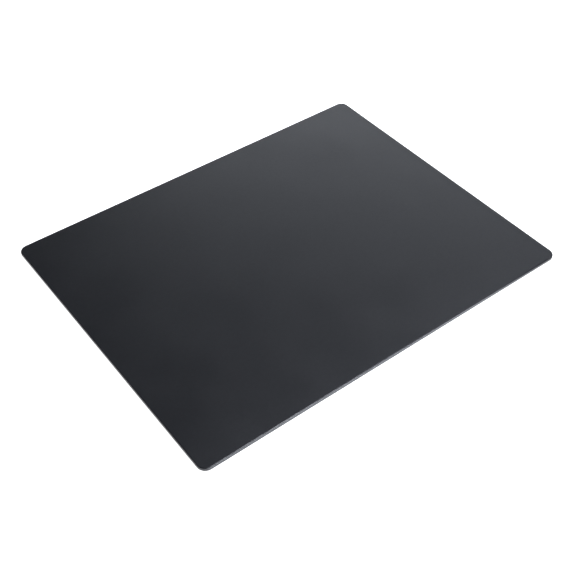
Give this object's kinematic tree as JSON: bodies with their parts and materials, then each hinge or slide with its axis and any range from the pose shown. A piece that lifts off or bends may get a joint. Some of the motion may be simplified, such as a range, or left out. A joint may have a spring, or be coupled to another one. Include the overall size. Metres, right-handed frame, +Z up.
{
  "type": "desk mat",
  "caption": "Flat rectangular desk mat with rounded corners: a leatherette cover wrapped round a thin padded board, with a felt underside.",
  "frame": {"origin": "middle of the felt's underside, where the mat rests on the desk", "axes": "+X along the long side, +Y along the short side, away from the user, +Z up, out of the writing surface"},
  "size_m": [0.6096, 0.4826, 0.0063],
  "materials": {
    "leatherette": "satin",
    "foam": "matte",
    "fibreboard": "matte",
    "card": "matte",
    "felt": "matte"
  },
  "bodies": {
    "root": {"leatherette_cover": "leatherette", "cushion_foam": "foam", "core_board": "fibreboard", "filler_card": "card", "felt_backing": "felt"}
  },
  "joints": []
}
